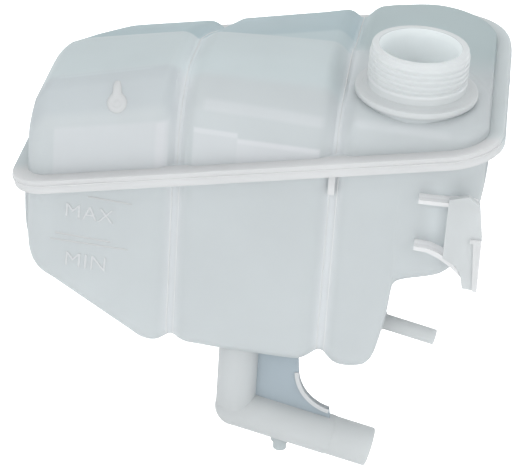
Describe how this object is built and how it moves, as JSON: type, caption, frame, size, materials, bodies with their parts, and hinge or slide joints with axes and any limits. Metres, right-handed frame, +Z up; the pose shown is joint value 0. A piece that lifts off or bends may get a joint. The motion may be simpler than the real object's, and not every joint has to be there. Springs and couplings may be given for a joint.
{
  "type": "coolant expansion tank",
  "caption": "Translucent white plastic coolant expansion tank with a threaded filler neck, welded flange, outlet pipe and vent spigot.",
  "frame": {"origin": "centre of the filler neck's rim", "axes": "+Z up along the neck's axis; +X right along the long front wall; +Y from the front wall to the back wall"},
  "size_m": [0.2566, 0.1946, 0.2521],
  "materials": {
    "tank": "satin"
  },
  "bodies": {
    "root": {"upper_left": "tank", "upper_mid": "tank", "upper_right": "tank", "lower_left": "tank", "lower_mid": "tank", "lower_deep": "tank", "lower_right": "tank", "outlet_pipe": "tank"}
  },
  "joints": []
}
